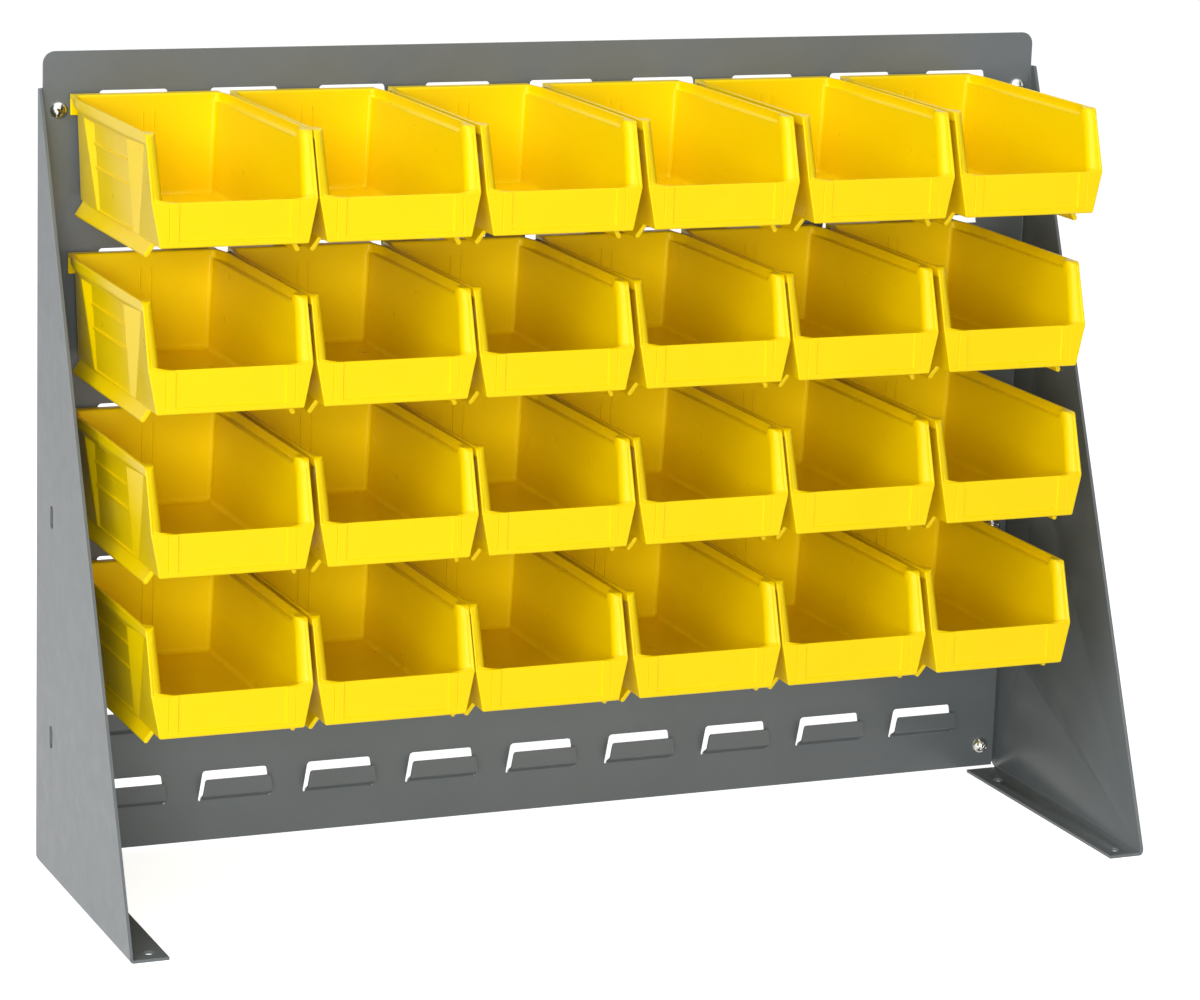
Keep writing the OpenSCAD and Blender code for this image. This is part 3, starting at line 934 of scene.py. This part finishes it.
# %% Pull the tongues forward
LOUVER_REACH = 8.0
LOUVER_GAP = 4.0
BEND_H = 6.5
BEND_STEPS = 7
SHEAR_GAP = 0.3
TIP_R = 1.6


def tongue_hw(up):
    """Half width of a tongue at a height above the foot of its slot."""
    return SLOT_W / 2 + SLOT_LEAN * (SLOT_H - up) / SLOT_H - SHEAR_GAP


free = [
    e for e in panel_bm.edges
    if e.is_boundary and abs(e.verts[0].co.z - e.verts[1].co.z) < 0.001 and e.calc_length() > SLOT_W / 2
    and any(abs(e.verts[0].co.z - (z - SLOT_H)) < 0.01 for z in rows)
]
base_hw = max(e.calc_length() for e in free) / 2
tongues = len(free)
way = [(t / BEND_STEPS) for t in range(1, BEND_STEPS + 1)]
steps = [(t, LOUVER_REACH * t * t * (3 - 2 * t), t * BEND_H) for t in way]
steps.append((1, LOUVER_REACH, SLOT_H - LOUVER_GAP))
for spread_out, forward, up in steps:
    pulled = bmesh.ops.extrude_edge_only(panel_bm, edges=free)["geom"]
    fresh = set(only(bmesh.types.BMVert, pulled))
    free = [e for e in only(bmesh.types.BMEdge, pulled) if fresh.issuperset(e.verts)]
    for v in fresh:
        x = min(columns, key=lambda c: abs(c - v.co.x))
        foot = max(z - SLOT_H for z in rows if z - SLOT_H < v.co.z + 0.01)
        half = base_hw + (tongue_hw(up) - base_hw) * spread_out
        v.co = (x + math.copysign(half, v.co.x - x), PANEL_FACE_Y - forward, foot + up)
tips = list({v for e in free for v in e.verts})
bmesh.ops.bevel(panel_bm, geom=tips, offset=TIP_R, segments=3, profile=0.5, affect="VERTICES", material=-1)
bmesh.ops.recalc_face_normals(panel_bm, faces=panel_bm.faces[:])
if sum(f.normal.y * f.calc_area() for f in panel_bm.faces) > 0:
    bmesh.ops.reverse_faces(panel_bm, faces=panel_bm.faces[:])
print("tongues pulled:", tongues)

# %% [markdown]
# ## From sheet to steel
# Solidify gives the drawn sheet its thickness, towards the back. Booleans drill the screw holes. At
# last the sharp edges are rounded by a bevel, and the narrow faces that it makes get the mark that
# the paint reads. The uprights need the same steps, so they are written as functions.

# %% Helpers for sheet metal


def drill(piece, cutter_bm):
    """Cuts the shapes in a bmesh out of a piece, and frees the bmesh."""
    bmesh.ops.recalc_face_normals(cutter_bm, faces=cutter_bm.faces[:])
    cutter = new_piece(cutter_bm, "cutter")
    cut = piece.modifiers.new("drill", "BOOLEAN")
    cut.operation = "DIFFERENCE"
    cut.solver = "EXACT"
    cut.object = cutter
    apply_modifiers(piece)
    bpy.data.objects.remove(cutter)


def add_pin(bm, place, axis, radius, length, segments=24):
    """A round pin centred at a place, along X, Y or Z."""
    turn = {"X": Matrix.Rotation(math.pi / 2, 4, "Y"), "Y": Matrix.Rotation(math.pi / 2, 4, "X")}
    bmesh.ops.create_cone(
        bm, cap_ends=True, segments=segments, radius1=radius, radius2=radius, depth=length,
        matrix=Matrix.Translation(place) @ turn.get(axis, Matrix.Identity(4)),
    )


def thicken(piece, thickness):
    """Gives a sheet its thickness behind its drawn side."""
    solid = piece.modifiers.new("thickness", "SOLIDIFY")
    solid.thickness = thickness
    solid.offset = -1.0
    solid.use_even_offset = True
    apply_modifiers(piece)


def break_edges(piece, radius):
    """Rounds the sharp edges of a piece, marks the new faces as edge and shades the piece."""
    bm = bmesh.new()
    bm.from_mesh(piece.data)
    mark = bm.faces.layers.float.new("edge")
    sharp = [e for e in bm.edges if len(e.link_faces) == 2 and e.calc_face_angle() > 0.8]
    rounded = bmesh.ops.bevel(
        bm, geom=sharp, offset=radius, segments=2, profile=0.5, affect="EDGES", material=-1,
        clamp_overlap=True,
    )
    for face in rounded["faces"]:
        face[mark] = 1.0
    for face in bm.faces:
        face.smooth = True
    bm.to_mesh(piece.data)
    bm.free()
    weigh_normals(piece)


SCREW_INSET = 13.5
SCREW_HEIGHTS = (18.0, 181.0, 347.0, 496.0)
HOLE_R = 3.5
PIN_LENGTH = 10.0
PANEL_EDGE_R = 0.3
rack_low, rack_high = box_mm("left_upright")
SCREW_X = -rack_low.x - SCREW_INSET
screw_places = [(side * SCREW_X, z) for side in (-1, 1) for z in SCREW_HEIGHTS]

panel = new_piece(panel_bm, "steel_panel")
thicken(panel, PANEL_T)
pins = bmesh.new()
for x, z in screw_places:
    add_pin(pins, (x, PANEL_FACE_Y, z), "Y", HOLE_R, PIN_LENGTH)
drill(panel, pins)
break_edges(panel, PANEL_EDGE_R)
settle(panel)
stand_for(panel, "louvered_panel", "rack", grey_paint)
print("panel:", len(panel.data.polygons), "faces")

# %% [markdown]
# ## The folded uprights
# Each upright is cut from one sheet as a tall tapering plate. Its lower edge is folded in to make a
# foot, and its rear edge is folded in behind the panel. The outline needs six corners; two
# extrusions make the folds, and a bevel with many segments turns the fold lines into bends. The
# right upright is the mirror image of the left one.

# %% Left and right upright
UPRIGHT_T = 2.0
FLANGE_W = 25.4
BEND_R = 3.0
TIP_W = 5.5
CORNER_CUT = (8.0, 5.0)
FRONT_FOOT_H = 5.0
FOOT_HOLE_X = 15.5
FOOT_HOLE_FRONT = 11.5
FOOT_HOLE_GAP = 166.0
FOOT_HOLE_R = 3.5
SIDE_SLOT_R = 3.5
SIDE_SLOT_RUN = 8.0
SIDE_SLOT_Y = PANEL_FACE_Y - 34.0
SIDE_SLOT_Z = (94.0, 240.0)
LONG_PIN = 12.0
UPRIGHT_EDGE_R = 0.85


def fold(bm, edge, way):
    """Extrudes a rim edge of a sheet and returns the fold line."""
    pulled = bmesh.ops.extrude_edge_only(bm, edges=[edge])["geom"]
    bmesh.ops.translate(bm, verts=only(bmesh.types.BMVert, pulled), vec=way)
    return edge


def draw_upright(name):
    """The left upright in millimetres, with its bends and holes."""
    bm = bmesh.new()
    back, front, top = rack_high.y, rack_low.y, rack_high.z
    outline = [
        (back, CORNER_CUT[1]), (back, top), (back - TIP_W, top), (front, FRONT_FOOT_H), (front, 0),
        (back - CORNER_CUT[0], 0),
    ]
    verts = [bm.verts.new((rack_low.x, y, z)) for y, z in outline]
    bm.faces.new(verts)
    rear = bm.edges.get((verts[0], verts[1]))
    under = bm.edges.get((verts[4], verts[5]))
    lines = [fold(bm, e, (FLANGE_W, 0, 0)) for e in (rear, under)]
    bmesh.ops.bevel(bm, geom=lines, offset=BEND_R, segments=8, profile=0.5, affect="EDGES", material=-1)
    bmesh.ops.recalc_face_normals(bm, faces=bm.faces[:])
    if sum(f.normal.x * f.calc_area() for f in bm.faces) > 0:
        bmesh.ops.reverse_faces(bm, faces=bm.faces[:])
    piece = new_piece(bm, name)
    thicken(piece, UPRIGHT_T)
    holes = bmesh.new()
    for x, z in screw_places[: len(SCREW_HEIGHTS)]:
        add_pin(holes, (x, back, z), "Y", HOLE_R, PIN_LENGTH)
    for y in (front + FOOT_HOLE_FRONT, front + FOOT_HOLE_FRONT + FOOT_HOLE_GAP):
        add_pin(holes, (rack_low.x + FOOT_HOLE_X, y, 0), "Z", FOOT_HOLE_R, LONG_PIN)
    drill(piece, holes)
    for z in SIDE_SLOT_Z:
        slot = bmesh.new()
        add_pin(slot, (rack_low.x, SIDE_SLOT_Y, z), "X", SIDE_SLOT_R, LONG_PIN)
        for v in slot.verts:
            v.co.z += math.copysign(SIDE_SLOT_RUN / 2, v.co.z - z)
        drill(piece, slot)
    break_edges(piece, UPRIGHT_EDGE_R)
    return piece


left = draw_upright("steel_upright_left")
right = draw_upright("steel_upright_right")
right.data.transform(Matrix.Scale(-1, 4, (1, 0, 0)))
right.data.flip_normals()
for piece, node in ((left, "left_upright"), (right, "right_upright")):
    settle(piece)
    stand_for(piece, node, "rack", grey_paint)
print("uprights:", len(left.data.polygons), "faces each")

# %% [markdown]
# ## Round headed screws
# A screw is turned on a lathe, so half of its outline spun about the axis makes the whole. The head
# is a low dome with a long slot and a short cross arm, cut by a boolean. Eight copies go through
# the panel, each turned a little differently, as screws end up when they are tightened.

# %% Screws
HEAD_R = 6.0
HEAD_H = 4.6
SHANK_R = 3.175
DRIVE_W = 1.5
DRIVE_D = 1.8
DRIVE_LENGTHS = (2.2 * HEAD_R, 0.9 * HEAD_R)
DOME_STEPS = 8
SCREW_TIP = box_mm("panel_screws")[1].y - PANEL_FACE_Y
SCREW_POINT = 0.4
SCREW_EDGE_R = 0.12
SCREW_TURNS = (40, 12, 75, 118, 24, 150, 60, 96)
THREAD_START = 4.0
THREAD_STEP = 1.0
THREAD_D = 0.35

dome_r = (HEAD_R**2 + HEAD_H**2) / (2 * HEAD_H)
dome_angle = math.asin(HEAD_R / dome_r)
dome = [dome_angle * i / DOME_STEPS for i in range(DOME_STEPS + 1)]
half = [(dome_r * math.sin(a), dome_r - HEAD_H - dome_r * math.cos(a)) for a in dome]
half += [(HEAD_R, -0.02), (SHANK_R, -0.01)]
y = THREAD_START
while y + THREAD_STEP < SCREW_TIP:
    half += [(SHANK_R, y), (SHANK_R - THREAD_D, y + THREAD_STEP / 2)]
    y += THREAD_STEP
half += [(SHANK_R, y), (SHANK_R - SCREW_POINT, SCREW_TIP), (0, SCREW_TIP)]

screw_bm = bmesh.new()
line = [screw_bm.verts.new((r, y, 0)) for r, y in half]
edges = [screw_bm.edges.new(pair) for pair in zip(line, line[1:])]
bmesh.ops.spin(
    screw_bm, geom=line + edges, cent=(0, 0, 0), axis=(0, 1, 0), angle=2 * math.pi, steps=32, use_merge=True
)
bmesh.ops.remove_doubles(screw_bm, verts=screw_bm.verts[:], dist=0.001)
bmesh.ops.recalc_face_normals(screw_bm, faces=screw_bm.faces[:])
screw = new_piece(screw_bm, "screw")
for length, turn in zip(DRIVE_LENGTHS, (0, math.pi / 2)):
    driver = bmesh.new()
    bmesh.ops.create_cube(
        driver, size=1.0,
        matrix=Matrix.Translation((0, -HEAD_H, 0)) @ Matrix.Rotation(turn, 4, "Y")
        @ Matrix.Diagonal((length, 2 * DRIVE_D, DRIVE_W, 1)),
    )
    drill(screw, driver)
break_edges(screw, SCREW_EDGE_R)


def copy_to(piece, name, places):
    """One piece made of copies of another at each place, which is a matrix. The first piece goes."""
    bm = bmesh.new()
    for place in places:
        count = len(bm.verts)
        bm.from_mesh(piece.data)
        bm.verts.ensure_lookup_table()
        bmesh.ops.transform(bm, verts=bm.verts[count:], matrix=place)
    bpy.data.objects.remove(piece)
    copies = new_piece(bm, name)
    weigh_normals(copies)
    return copies


screws = copy_to(screw, "zinc_screws", [
    Matrix.Translation((x, PANEL_FACE_Y, z)) @ Matrix.Rotation(math.radians(turn), 4, "Y")
    for (x, z), turn in zip(screw_places, SCREW_TURNS)
])
settle(screws)
stand_for(screws, "panel_screws", "rack", bright_zinc)
print("screws:", len(screw_places), "with", len(screws.data.polygons), "faces")

# %% [markdown]
# ## Hexagon nuts
# A nut is a cone with six sides and no taper. Its corners are taken off by a bevel on both ends,
# and a hole is drilled for the screw. The nuts sit behind the rear flanges, where they are seen
# only from the back.

# %% Nuts
NUT_FLATS = 11.1
NUT_H = 5.5
NUT_R = NUT_FLATS / 2 / math.cos(math.pi / 6)
NUT_HOLE_R = SHANK_R + 0.15
NUT_CHAMFER = 0.7
NUT_EDGE_R = 0.15

nut_bm = bmesh.new()
bmesh.ops.create_cone(
    nut_bm, cap_ends=True, segments=6, radius1=NUT_R, radius2=NUT_R, depth=NUT_H,
    matrix=Matrix.Rotation(math.pi / 2, 4, "X"),
)
ends = [e for e in nut_bm.edges if abs(e.verts[0].co.y - e.verts[1].co.y) < 0.01]
bmesh.ops.bevel(nut_bm, geom=ends, offset=NUT_CHAMFER, segments=2, profile=0.5, affect="EDGES", material=-1)
nut = new_piece(nut_bm, "nut")
bore = bmesh.new()
add_pin(bore, (0, 0, 0), "Y", NUT_HOLE_R, 2 * NUT_H)
drill(nut, bore)
break_edges(nut, NUT_EDGE_R)
nuts = copy_to(nut, "zinc_nuts", [
    Matrix.Translation((x, rack_high.y + NUT_H / 2, z)) for x, z in screw_places
])
settle(nuts)
stand_for(nuts, "panel_nuts", "rack", bright_zinc)
print("nuts:", len(screw_places))
